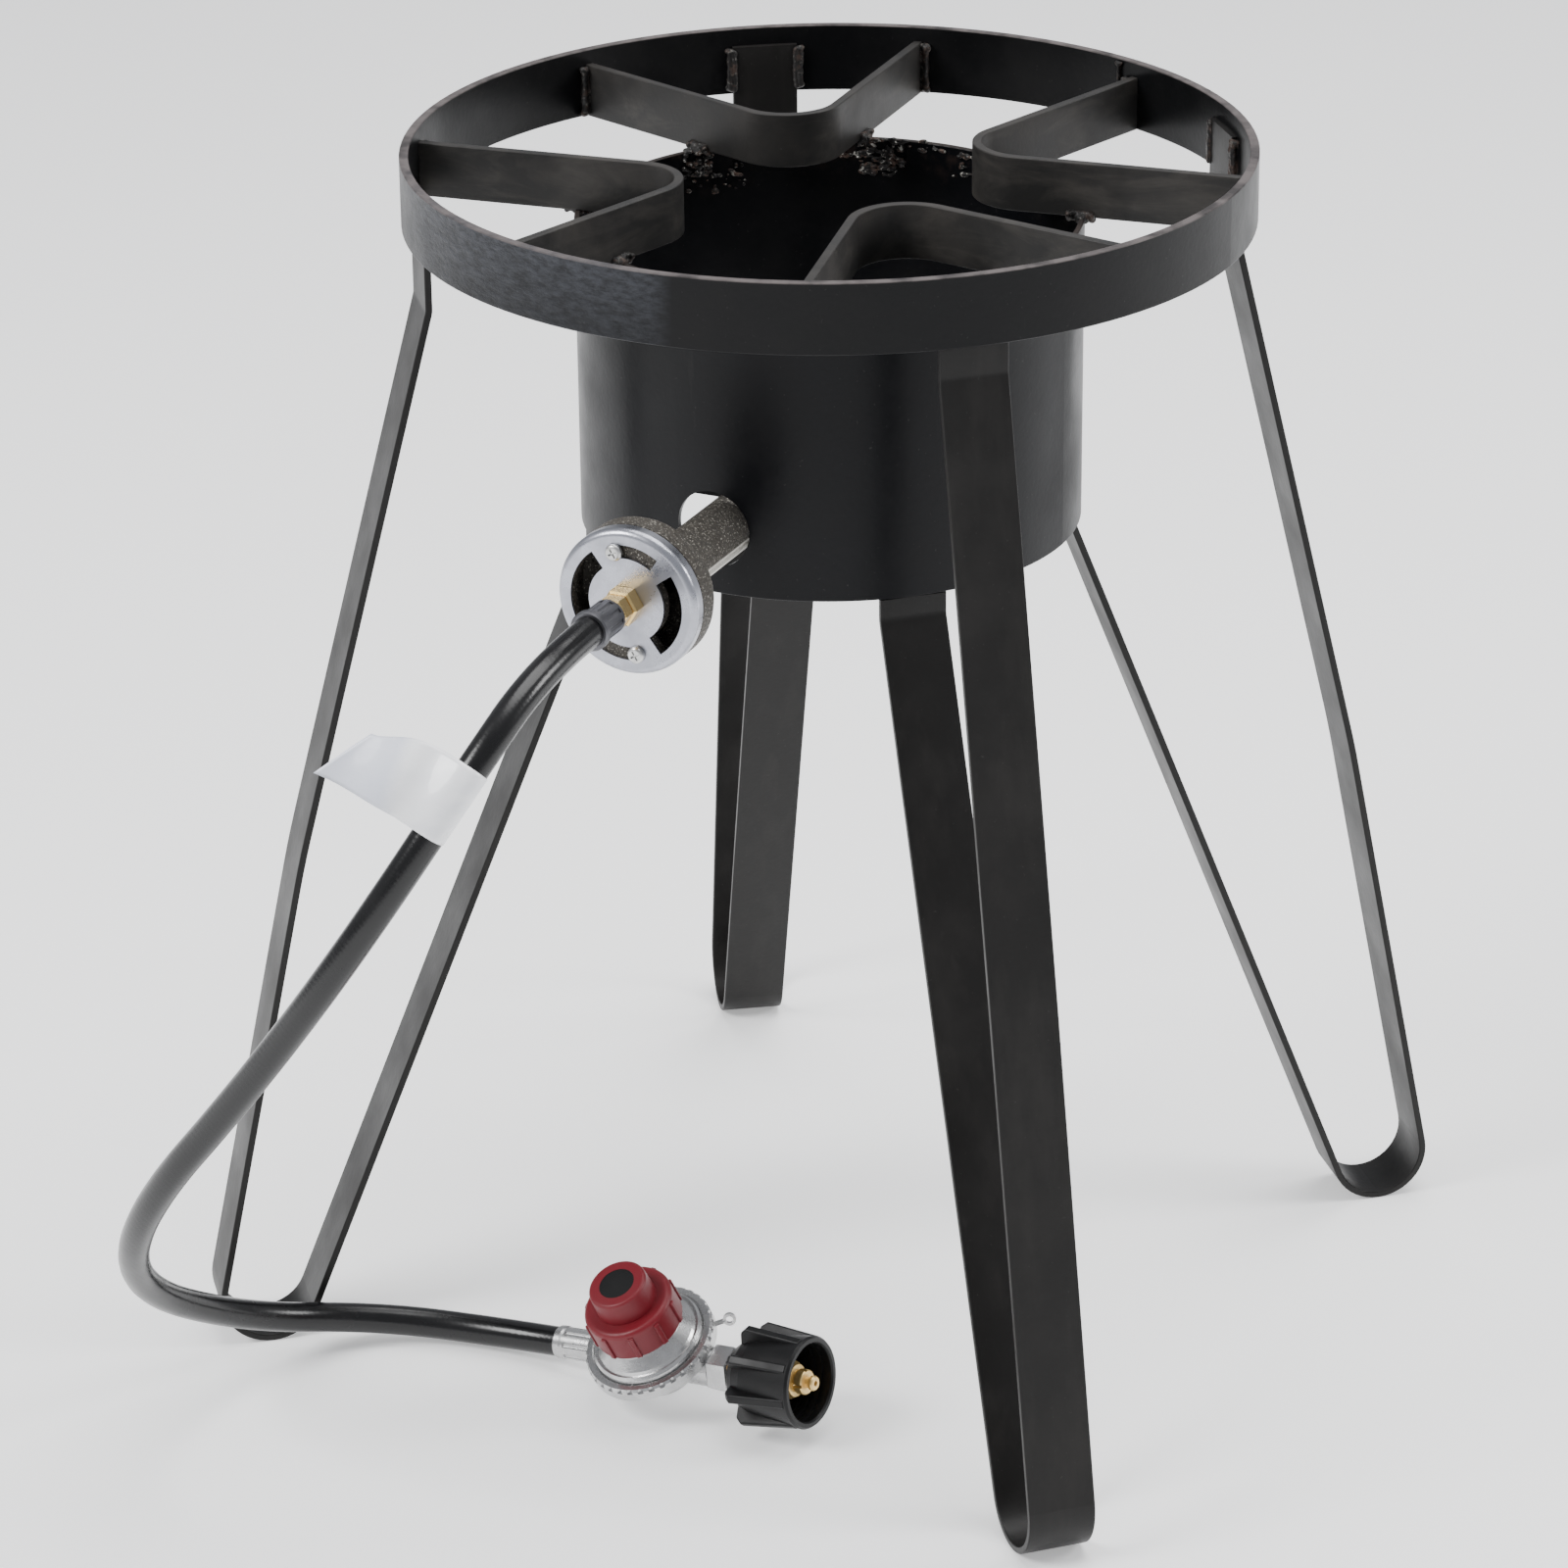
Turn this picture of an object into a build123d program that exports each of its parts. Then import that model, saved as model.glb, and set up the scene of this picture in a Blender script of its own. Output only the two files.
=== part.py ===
"""Outdoor propane burner stand with its burner, hose and tank regulator.

Units are millimetres. +Z is up, and the burner's venturi tube points along -Y. An
azimuth is measured from -Y towards +X, seen from above. Everything is drawn round the
ring's centre line and then moved by FOOTPRINT, so that the origin is on the floor in
the middle of what the four unequal legs and the burner's ferrule take up.
"""
import math
import os

from build123d import *

# ---------------------------------------------------------------- stand
HEIGHT = 528.0            # floor to the top of the ring, 21 in nominal
RING_R = 180.0            # outer radius of the ring, 14 in nominal
RING_T = 4.0              # ring and bracket bar thickness
RING_H = 30.0
BAR_EDGE = 0.6            # rounding of the hot-rolled bar's corners

BRACKET_H = 23.5
BRACKET_HALF_ANGLE = 25.0     # from the bracket's middle to where an arm meets the ring
BRACKET_SLOPE = 33.5          # angle of each arm to the bracket's middle line
BRACKET_BEND_R = 23.0

GUARD_R = 107.5
GUARD_T = 2.5
GUARD_H = 133.4
TUBE_HOLE_R = 16.6
TUBE_HOLE_X = -4.9            # the hole is cut a little to the left of the tube's axis
TUBE_HOLE_DROP = 1.4          # and a little low of it

LEG_W = 29.0
LEG_T = 3.0
LEG_BEND_R = 8.0
FOOT_R = 22.5                 # outside radius of the foot bend
LEG_RING_TOP = HEIGHT - 8.0
LEG_GUARD_RISE = 45.0         # how far the inner bar reaches up inside the guard
LEG_GUARD_DROP = 10.5         # from the guard's lower edge down to the bend

# The legs and brackets were set by hand, so each has its own place:
# name, leg azimuth, radius of the foot's contact line, height of the bend under the
# ring, how far the outer bar is bowed outwards, bracket azimuth.
STATIONS = [
    ("front", 43.5, 263.5, 484.0, 1.0, 45.5),
    ("right", 129.5, 257.0, 484.0, 5.0, 130.1),
    ("back", 214.0, 264.0, 484.0, 1.0, 216.5),
    ("left", 308.5, 261.0, 474.0, 5.5, 310.3),
]
LEG_BOW_Z, LEG_BOW_R = 230.0, 500.0
FOOTPRINT = (5.0, -7.0, 0.0)

# ---------------------------------------------------------------- burner
AXIS_Z = 394.0
TUBE_R = 11.3
TUBE_BORE = 8.3
BELL_R = 31.0
BELL_LIP_R = 29.6
BELL_LIP_L = 5.6
BELL_L = 19.0
BELL_FRONT_Y = -196.1
WEB_T = 4.0
WINDOW_IN, WINDOW_OUT = 16.7, 24.8
WINDOW_MID, WINDOW_SPAN = -8.5, 89.0
CUP_R, CUP_WALL = 34.0, 4.0
CUP_Z0, CUP_Z1 = AXIS_Z - 15.0, AXIS_Z + 32.0
CAP_R, CAP_T = 36.0, 6.0
PORT_COUNT, PORT_R = 24, 1.4
STRAP_W, STRAP_T = 25.0, 3.0
STRAP_Z = HEIGHT - RING_H - GUARD_H + 2.4
BOLT_R = 4.0

SHUTTER_T = 1.2
SHUTTER_GAP = 0.2
SHUTTER_DEPTH = 6.7
SLOT_IN, SLOT_OUT = 19.0, 24.6
SLOT_FROM, SLOT_TO = 55.0, 108.0
SCREW_RADIUS = 21.8
SCREW_ANGLE = 102.0
SCREW_R = 2.0
SCREW_HEAD_R, SCREW_HEAD_H = 3.6, 2.3

SPUD_HEX, SPUD_L, SPUD_THREAD_R = 14.0, 7.0, 4.8
FLARE_HEX, FLARE_L = 12.5, 7.0
FERRULE_L, FERRULE_LIP, FERRULE_WALL = 19.3, 8.4, 0.7

# ---------------------------------------------------------------- hose
HOSE_D = 13.2
HOSE_GRIP = 5.0               # how far the hose reaches into each ferrule
# The route's points; the last two follow from the regulator's outlet.
HOSE_ROUTE = [
    (0, -226, 394),
    (0, -272, 394),
    (-9, -316, 366),
    (-48, -344, 296),
    (-102, -338, 222),
    (-165, -329, 145),
    (-202, -276, 76),
    (-193, -203, 27),
    (-154, -151, 10),
]
HOSE_LEAD = 35.0
LABEL_AT = 109.2              # middle of the label, along the hose from the burner end
LABEL_L, LABEL_TAIL = 31.0, 46.0
LABEL_SIDE = (-0.92, -0.29, 0.27)

# ---------------------------------------------------------------- regulator
REG_CENTRE = (-19.0, -152.0, 28.5)   # middle of the crimped rim
REG_LEAN, REG_LEAN_AZ = 27.3, -23.1  # how its axis leans, and which way
INLET_AZ = 86.5
PORT_DROP = 11.2                     # ports below the rim's middle
INLET_X, OUTLET_X = 30.0, 29.6
INLET_HEX = 19.0
OUTLET_L, OUTLET_LIP = 23.4, 7.5
RIM_R = 29.5
RIM_SCALLOPS = 36
EYE_R, EYE_Z, EYE_TURN = 36.0, -2.0, 33.0
BODY_BOWL_R = 23.0
TOWER_R, TOWER_TOP = 11.5, 27.0
KNOB_R, KNOB_CAP_R = 20.2, 13.3
KNOB_Z0, KNOB_STEP, KNOB_TOP = 14.0, 28.6, 40.3
KNOB_RIBS, KNOB_RIB_W, KNOB_RIB_H = 10, 2.4, 0.9
STICKER_R = 8.0
SPRING_Z0, SPRING_Z1 = 2.1, 18.0
SPRING_R, SPRING_WIRE = 6.6, 1.1
BUTTON_T = 4.0
ADJUST_TRAVEL = 3.75
ADJUST_R = 3.0
NUT_X0, NUT_X1 = 43.0, 78.5
NUT_R, NUT_BORE = 20.2, 17.0
NUT_RIB_W = 4.2
NUT_RIBS = 8
NUT_HUB_R = 9.6
NIPPLE_R = 7.4


# ---------------------------------------------------------------- helpers
def azimuth(az):
    """Unit vector on the floor at an azimuth."""
    return Vector(math.sin(math.radians(az)), -math.cos(math.radians(az)), 0)


def turned(shape, az):
    """A shape drawn outwards along +X, turned to an azimuth."""
    return Rot(0, 0, az - 90) * shape


def tube(r_out, r_in, length):
    """Ring standing on z = 0."""
    ring = Cylinder(r_out, length, align=(Align.CENTER, Align.CENTER, Align.MIN))
    bore = Cylinder(r_in, length, align=(Align.CENTER, Align.CENTER, Align.MIN))
    return ring - bore


def rod(r, length):
    """Cylinder standing on z = 0."""
    return Cylinder(r, length, align=(Align.CENTER, Align.CENTER, Align.MIN))


def hexagon(flats, length):
    """Hexagonal prism standing on z = 0."""
    return extrude(RegularPolygon(flats / 2, 6, major_radius=False), length)


def flat_bar(path, width, thickness, across):
    """Flat bar swept along a planar path; its width lies along `across`."""
    plane = Plane(origin=path @ 0, x_dir=across, z_dir=path % 0)
    section = plane * RectangleRounded(width, thickness, BAR_EDGE)
    return sweep(section, path=path)


def sector(r_in, r_out, start, end, depth):
    """Part of a ring between two angles, standing on z = 0."""
    mid = math.radians((start + end) / 2)
    a, b = math.radians(start), math.radians(end)

    def at(r, t):
        return (r * math.cos(t), r * math.sin(t))

    outline = [
        ThreePointArc(at(r_out, a), at(r_out, mid), at(r_out, b)),
        Line(at(r_out, b), at(r_in, b)),
        ThreePointArc(at(r_in, b), at(r_in, mid), at(r_in, a)),
        Line(at(r_in, a), at(r_out, a)),
    ]
    return extrude(make_face(Wire(outline)), depth)


def turned_profile(points):
    """Solid of revolution about Z from (radius, z) points."""
    face = Plane.XZ * make_face(Polyline(*points, close=True))
    return revolve(face, Axis.Z)


def bead(start, end, r):
    """Weld bead: a round bar."""
    run = Vector(*end) - Vector(*start)
    return Plane(origin=start, z_dir=run) * rod(r, run.length)


def save(name, shape):
    """Write one node, moved from the ring's centre line to the middle of the footprint."""
    solids = [Pos(*FOOTPRINT) * solid for solid in shape.solids()]
    moved = solids[0] if len(solids) == 1 else Compound(children=solids)
    moved.label = name
    export_step(moved, f"parts/{name}.step")


# ---------------------------------------------------------------- stand
def top_ring():
    ring = Pos(0, 0, HEIGHT - RING_H) * tube(RING_R, RING_R - RING_T, RING_H)
    return fillet(ring.edges().filter_by(GeomType.CIRCLE), BAR_EDGE)


def pot_bracket(az):
    """Bar bent to a V, its point towards the middle and its ends on the ring."""
    inner = RING_R - RING_T
    half = math.radians(BRACKET_HALF_ANGLE)
    x_end, y_end = inner * math.cos(half), inner * math.sin(half)
    x_apex = x_end - y_end / math.tan(math.radians(BRACKET_SLOPE))
    over = 1.0 + RING_T / (x_end - x_apex)
    reach = (x_apex + (x_end - x_apex) * over, y_end * over)
    z = HEIGHT - RING_H + BRACKET_H / 2
    path = FilletPolyline(
        (reach[0], reach[1], z), (x_apex, 0, z), (reach[0], -reach[1], z), radius=BRACKET_BEND_R
    )
    bar = flat_bar(path, BRACKET_H, RING_T, (0, 0, 1))
    trim = Pos(0, 0, HEIGHT - RING_H) * rod(inner - 0.01, RING_H)
    return turned(bar & trim, az)


def wind_guard():
    z0 = HEIGHT - RING_H - GUARD_H
    drum = Pos(0, 0, z0) * tube(GUARD_R, GUARD_R - GUARD_T, GUARD_H)
    drum = fillet(drum.edges().filter_by(GeomType.CIRCLE), BAR_EDGE)
    hole = Pos(TUBE_HOLE_X, 0, AXIS_Z - TUBE_HOLE_DROP) * Rot(90, 0, 0) * rod(TUBE_HOLE_R, RING_R)
    return drum - hole


def tangent_corner(point, centre, r, side):
    """Where the tangent from a point to the foot bend meets the bar's floor line."""
    dx, dz = point[0] - centre[0], point[1] - centre[1]
    turn = math.atan2(dz, dx) - side * math.acos(r / math.hypot(dx, dz))
    tx, tz = centre[0] + r * math.cos(turn), centre[1] + r * math.sin(turn)
    reach = (point[1] - LEG_T / 2) / (point[1] - tz)
    return point[0] + (tx - point[0]) * reach


def leg(az, foot, bend_z, bow):
    """Hairpin of flat bar: up to the ring outside, and up into the guard inside."""
    r_ring = RING_R - RING_T - LEG_T / 2 - 0.01
    r_guard = GUARD_R - GUARD_T - LEG_T / 2 - 0.01
    guard_z = HEIGHT - RING_H - GUARD_H
    top, knee = (r_ring, LEG_RING_TOP), (r_ring, bend_z)
    hip, end = (r_guard, guard_z - LEG_GUARD_DROP), (r_guard, guard_z + LEG_GUARD_RISE)
    bend = FOOT_R - LEG_T / 2
    centre = (foot, FOOT_R)
    straight = tangent_corner(knee, centre, bend, 1)
    share = (bend_z - LEG_BOW_Z) / (bend_z - LEG_T / 2)
    middle = (r_ring + (straight - r_ring) * share + bow, LEG_BOW_Z)
    outer = (tangent_corner(middle, centre, bend, 1), LEG_T / 2)
    inner = (tangent_corner(hip, centre, bend, -1), LEG_T / 2)
    points = [(x, 0, z) for x, z in (top, knee, middle, outer, inner, hip, end)]
    foot_bend = bend - 0.02
    radii = [LEG_BEND_R, LEG_BOW_R, foot_bend, foot_bend, LEG_BEND_R]
    path = FilletPolyline(*points, radius=radii)
    bar = flat_bar(path, LEG_W, LEG_T, (0, 1, 0))
    # The bar is flat and the ring and guard are round, so its edges are ground to fit.
    ring_fit = Pos(0, 0, HEIGHT - RING_H - 0.5) * tube(RING_R + 20, RING_R - RING_T, RING_H)
    guard_fit = Pos(0, 0, guard_z - 1) * tube(GUARD_R + 5, GUARD_R - GUARD_T, RING_H * 2)
    return turned(bar - ring_fit - guard_fit, az)


def bracket_weld_lines():
    """Corner lines between each bracket arm and the ring."""
    inner = RING_R - RING_T
    z0, z1 = HEIGHT - RING_H + 2, HEIGHT - RING_H + BRACKET_H - 2
    for *_, az in STATIONS:
        for side in (-1, 1):
            spot = azimuth(az + side * (BRACKET_HALF_ANGLE + 1.1)) * (inner - 0.8)
            yield (spot.X, spot.Y, z0), (spot.X, spot.Y, z1)


def leg_weld_lines(r, z0, z1):
    """Upright lines along both edges of each leg's end."""
    for _, az, *_ in STATIONS:
        out = azimuth(az)
        along = Vector(-out.Y, out.X, 0)
        for side in (-1, 1):
            x = r - LEG_W**2 / (8 * r)
            spot = out * (x - 1.3) + along * (side * (LEG_W / 2 + 0.8))
            yield (spot.X, spot.Y, z0), (spot.X, spot.Y, z1)


def guard_bracket_lines():
    """Short lines where a bracket arm crosses the guard's upper edge."""
    half, slope = math.radians(BRACKET_HALF_ANGLE), math.radians(BRACKET_SLOPE)
    inner = RING_R - RING_T
    x_apex = inner * math.cos(half) - inner * math.sin(half) / math.tan(slope)
    z = HEIGHT - RING_H + 0.6
    r = GUARD_R - GUARD_T / 2
    reach = -x_apex * math.cos(slope) + math.sqrt(r * r - (x_apex * math.sin(slope)) ** 2)
    for *_, az in STATIONS:
        out = azimuth(az)
        along = Vector(-out.Y, out.X, 0)
        for side in (-1, 1):
            arm = out * math.cos(slope) + along * (side * math.sin(slope))
            off = along * (side * math.cos(slope)) - out * math.sin(slope)
            spot = out * x_apex + arm * reach + off * (RING_T / 2)
            a, b = spot - arm * 5, spot + arm * 5
            yield (a.X, a.Y, z), (b.X, b.Y, z)


def weld_group(lines, r, *neighbours):
    """Separate beads along the lines, cut back to the faces of the pieces they join."""
    solids = []
    for start, end in lines:
        shape = bead(start, end, r)
        for other in neighbours:
            shape = shape - other
        solids += sorted(shape.solids(), key=lambda s: -s.volume)[:1]
    return Compound(children=solids)


# ---------------------------------------------------------------- burner
def on_burner_axis(shape, depth=0.0):
    """Place a shape drawn along +Z, +Z pointing outwards, at a depth behind the bell's lip."""
    face = Plane(origin=(0, BELL_FRONT_Y + depth, AXIS_Z), x_dir=(1, 0, 0), z_dir=(0, -1, 0))
    return face * shape


def windows(depth):
    """The two air windows, standing on z = 0."""
    half = WINDOW_SPAN / 2
    first = sector(WINDOW_IN, WINDOW_OUT, WINDOW_MID - half, WINDOW_MID + half, depth)
    return first + Rot(0, 0, 180) * first


def burner_casting():
    """Bell, venturi tube and burner cup in one iron casting."""
    to_cup = -BELL_FRONT_Y
    outside = turned_profile([
        (0, 0), (BELL_LIP_R, 0), (BELL_LIP_R, -BELL_LIP_L), (BELL_R, -BELL_LIP_L - 0.4),
        (BELL_R, -BELL_L + 4), (BELL_R - 1.2, -BELL_L + 1.2), (BELL_R - 4, -BELL_L),
        (TUBE_R + 5, -BELL_L - 3), (TUBE_R, -BELL_L - 8), (TUBE_R, -to_cup), (0, -to_cup),
    ])
    cavity = turned_profile([
        (0, -WEB_T), (BELL_R - 4, -WEB_T), (BELL_R - 4, -BELL_L + 5), (TUBE_BORE + 4, -BELL_L - 2),
        (TUBE_BORE, -BELL_L - 8), (TUBE_BORE, -to_cup), (0, -to_cup),
    ])
    boss = Pos(0, 0, -10) * tube(8, SPUD_THREAD_R, 10)
    screw_holes = Part() + [
        Rot(0, 0, SCREW_ANGLE + k * 180) * Pos(SCREW_RADIUS, 0, -WEB_T) * rod(SCREW_R, WEB_T)
        for k in (0, 1)
    ]
    bell = outside - cavity - Pos(0, 0, -WEB_T) * windows(WEB_T) - screw_holes
    bell = bell - Pos(0, 0, -10) * rod(SPUD_THREAD_R, 10) + boss
    rib_l = to_cup - BELL_L - 8
    rib = Rot(0, 0, -35) * Pos(TUBE_R, 0, -BELL_L - 6 - rib_l / 2) * Box(2.4, 2.6, rib_l - 34)
    body = on_burner_axis(bell + rib)
    cup = Pos(0, 0, CUP_Z0) * rod(CUP_R, CUP_Z1 - CUP_Z0)
    lug = Pos(0, 0, STRAP_Z + STRAP_T) * rod(10, CUP_Z0 - STRAP_Z - STRAP_T)
    post = Pos(0, 0, CUP_Z0) * tube(6, 2.5, CUP_Z1 - CUP_Z0)
    hollow = Pos(0, 0, CUP_Z0 + CUP_WALL) * rod(CUP_R - CUP_WALL, CUP_Z1)
    way_in = on_burner_axis(Pos(0, 0, -to_cup) * rod(TUBE_BORE, CUP_R + 4))
    casting = body - Pos(0, 0, CUP_Z0) * rod(CUP_R - 1, CUP_Z1 - CUP_Z0) + cup + lug
    casting = casting - hollow - way_in + post
    bolt_hole = Pos(0, 0, STRAP_Z) * rod(BOLT_R, CUP_Z0 - STRAP_Z + 3)
    return casting - bolt_hole - Pos(0, 0, CUP_Z1 - 20) * rod(2.5, 21)


def burner_cap():
    """Cast lid with its ring of gas ports."""
    cap = Pos(0, 0, CUP_Z1) * rod(CAP_R, CAP_T)
    cap = chamfer(cap.edges().group_by(Axis.Z)[-1], 2)
    cap = cap + Pos(0, 0, CUP_Z1 - 2) * tube(CUP_R - CUP_WALL - 0.1, CUP_R - CUP_WALL - 3, 2)
    for k in range(PORT_COUNT):
        for r, lean in ((22.0, 0.5), (13.5, 0.0)):
            if r > 20 or k % 2 == 0:
                spot = Rot(0, 0, 360 / PORT_COUNT * (k + lean)) * Pos(r, 0, CUP_Z1)
                cap = cap - spot * rod(PORT_R, CAP_T)
    return cap - Pos(0, 0, CUP_Z1) * rod(2.5, CAP_T)


def cap_screw():
    head = Pos(0, 0, CUP_Z1 + CAP_T) * (rod(5, 3.2) - Pos(0, 0, 1.8) * Box(11, 1.3, 3))
    return head + Pos(0, 0, CUP_Z1 - 14) * rod(2.5, CAP_T + 14)


def burner_strap():
    strap = Pos(0, 0, STRAP_Z + STRAP_T / 2) * Box(GUARD_R * 2, STRAP_W, STRAP_T)
    trim = Pos(0, 0, STRAP_Z) * rod(GUARD_R - GUARD_T - 0.01, STRAP_T)
    return (strap & trim) - Pos(0, 0, STRAP_Z) * rod(BOLT_R, STRAP_T)


def strap_washer():
    return Pos(0, 0, STRAP_Z - 1.6) * tube(8.5, BOLT_R, 1.6)


def burner_bolt():
    head = Pos(0, 0, STRAP_Z - 1.6 - 5.3) * hexagon(13, 5.3)
    return head + Pos(0, 0, STRAP_Z - 1.6) * rod(BOLT_R, CUP_Z0 - STRAP_Z + 3)


def air_shutter():
    """Pressed disc with a rolled skirt, two air windows and two slots."""
    face = SHUTTER_GAP + SHUTTER_T
    back = face - SHUTTER_DEPTH
    shell = Pos(0, 0, back) * rod(BELL_R, SHUTTER_DEPTH)
    shell = fillet(shell.edges().group_by(Axis.Z)[-1], 3.0)
    inside = Pos(0, 0, back) * rod(BELL_R - 1.1, SHUTTER_DEPTH - SHUTTER_T)
    inside = fillet(inside.edges().group_by(Axis.Z)[-1], 0.2)
    shell = shell - inside - rod(SPUD_THREAD_R + 0.05, face) - windows(face)
    slot = sector(SLOT_IN, SLOT_OUT, SLOT_FROM, SLOT_TO, face)
    return on_burner_axis(shell - slot - Rot(0, 0, 180) * slot)


def shutter_screws():
    """Two pan-head cross-recess screws."""
    under = SHUTTER_GAP + SHUTTER_T + 0.2
    head = fillet(rod(SCREW_HEAD_R, SCREW_HEAD_H).edges().group_by(Axis.Z)[-1], 1.4)
    for turn in (0, 90):
        head = head - Rot(0, 0, turn + 20) * Pos(0, 0, SCREW_HEAD_H) * Box(4.2, 0.8, 2.2)
    screw = Pos(0, 0, under) * head + Pos(0, 0, -WEB_T) * rod(SCREW_R, WEB_T + under)
    both = [Rot(0, 0, SCREW_ANGLE + k * 180) * Pos(SCREW_RADIUS, 0, 0) * screw for k in (0, 1)]
    return Compound(children=[on_burner_axis(s).solids()[0] for s in both])


def orifice_fitting():
    """Brass spud: screws into the bell's boss and carries the jet."""
    under = SHUTTER_GAP + SHUTTER_T + 0.2
    fitting = Pos(0, 0, under) * chamfer(
        hexagon(SPUD_HEX, SPUD_L).edges().filter_by(Plane.XY).group_by(Axis.Z)[-1], 0.8
    )
    fitting = fitting + Pos(0, 0, -12) * rod(SPUD_THREAD_R, 12 + under)
    return on_burner_axis(fitting - Pos(0, 0, -12) * rod(0.6, 12 + under + SPUD_L))


def flare_z():
    return SHUTTER_GAP + SHUTTER_T + 0.2 + SPUD_L


def flare_nut():
    nut = chamfer(hexagon(FLARE_HEX, FLARE_L).edges().filter_by(Plane.XY), 0.7)
    return on_burner_axis(Pos(0, 0, flare_z()) * (nut - rod(1.5, FLARE_L)))


def crimped_ferrule(length, lip, wall, flutes):
    """Crimped sleeve with a rolled lip, standing on z = 0, the hose at the far end."""
    r = HOSE_D / 2 + wall
    sleeve = turned_profile([
        (0, 0), (r - 1.0, 0), (r, 1.2), (r, length - 4.6), (lip, length - 3.4),
        (lip, length - 0.8), (lip - 0.6, length), (0, length),
    ])
    for k in range(flutes):
        groove = Pos(r + 0.6, 0, 2.6) * rod(1.3, length - 2.6 - HOSE_GRIP - 0.6)
        sleeve = sleeve - Rot(0, 0, 360 / flutes * k) * groove
    return sleeve - Pos(0, 0, length - HOSE_GRIP) * rod(HOSE_D / 2, HOSE_GRIP)


def burner_ferrule():
    sleeve = crimped_ferrule(FERRULE_L, FERRULE_LIP, FERRULE_WALL, 10)
    return on_burner_axis(Pos(0, 0, flare_z() + FLARE_L) * sleeve)


# ---------------------------------------------------------------- regulator
def reg_plane():
    """Regulator frame: +Z up its knob, +X out of its inlet."""
    lean = math.radians(REG_LEAN)
    up = azimuth(REG_LEAN_AZ) * math.sin(lean) + Vector(0, 0, math.cos(lean))
    towards = azimuth(INLET_AZ)
    inlet = towards - up * towards.dot(up)
    return Plane(origin=REG_CENTRE, x_dir=inlet, z_dir=up)


def on_ports(shape, x):
    """Place a shape drawn along +Z on the port line, at x and pointing along +X."""
    return Plane(origin=(x, 0, -PORT_DROP), x_dir=(0, 1, 0), z_dir=(1, 0, 0)) * shape


def off_ports(shape, x):
    """The same, pointing along -X."""
    return Plane(origin=(x, 0, -PORT_DROP), x_dir=(0, 1, 0), z_dir=(-1, 0, 0)) * shape


def regulator_body():
    """Zinc lower housing, its rim crimped over the bonnet."""
    shell = turned_profile([
        (0, -22), (11, -22), (14.5, -19.5), (17, -13), (BODY_BOWL_R, -7.5), (RIM_R - 1.2, -4.8),
        (RIM_R, -3.6), (RIM_R, 1.9), (RIM_R - 0.9, 2.9), (26.2, 2.9), (26.2, 2.0), (27.6, 2.0),
        (27.6, -0.5), (24.0, -0.5), (21.0, -1.6), (20.0, -6.0), (0, -6.0),
    ])
    shell = shell + on_ports(rod(8.8, INLET_X - 12.05), 12)
    shell = shell + off_ports(rod(7.6, OUTLET_X - 12.05), -12)
    shell = shell - on_ports(rod(3, 40), 0) - off_ports(rod(3, 22), -16)
    shell = shell - Pos(0, 0, -PORT_DROP) * rod(2, PORT_DROP)
    shell = shell - Pos(-17, 0, -PORT_DROP) * rod(2, PORT_DROP)
    dents = [
        Rot(0, 0, 360 / RIM_SCALLOPS * k) * Pos(RIM_R + 0.45, 0, 0.7) * rod(1.45, 3)
        for k in range(RIM_SCALLOPS)
    ]
    return shell - dents


def regulator_bonnet():
    """Pressed cover with two raised rings and the threaded tower."""
    return turned_profile([
        (27.4, 0.5), (27.4, 1.98), (25.6, 1.98), (25.0, 4.2), (24.0, 5.4), (22.8, 5.2),
        (22.0, 6.4), (18.0, 10.6), (16.4, 12.6), (15.4, 13.0), (14.6, 12.2), (TOWER_R + 1, 12.6),
        (TOWER_R, 14.0), (TOWER_R, TOWER_TOP), (ADJUST_R + 0.05, TOWER_TOP),
        (ADJUST_R + 0.05, TOWER_TOP - 3), (8.6, TOWER_TOP - 3), (8.6, 9.0), (16.6, 8.2),
        (20.6, 4.2), (23.6, 2.6), (24.0, 0.5),
    ])


def diaphragm():
    return Pos(0, 0, -0.48) * tube(27.4, 1.3, 0.96)


def diaphragm_plate():
    disc = Pos(0, 0, 0.5) * rod(16, 1.5)
    rim = Pos(0, 0, 2.0) * tube(9.4, 8.2, 1.6)
    return disc + rim - Pos(0, 0, 0.5) * rod(1.2, 1.5)


def valve_stem():
    return Pos(0, 0, -8.6) * rod(1.2, 10.6) + Pos(0, 0, -8.6) * rod(1.7, 1.6)


def adjusting_spring():
    turns = 6
    pitch = (SPRING_Z1 - SPRING_Z0 - 2 * SPRING_WIRE) / turns
    coil = Helix(pitch=pitch, height=pitch * turns, radius=SPRING_R)
    section = Plane(origin=coil @ 0, z_dir=coil % 0) * Circle(SPRING_WIRE)
    return Pos(0, 0, SPRING_Z0 + SPRING_WIRE) * sweep(section, path=coil, is_frenet=True)


def spring_button():
    button = Pos(0, 0, SPRING_Z1 + 0.05) * tube(8.3, ADJUST_R + 0.05, BUTTON_T)
    return chamfer(button.edges().group_by(Axis.Z)[-1], 0.4)


def adjusting_screw():
    shank = Pos(0, 0, 12.0) * rod(ADJUST_R, KNOB_STEP + 7.0 - 12.0)
    collar = Pos(0, 0, TOWER_TOP + 0.1) * rod(4.6, 0.9)
    return shank + collar


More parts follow.
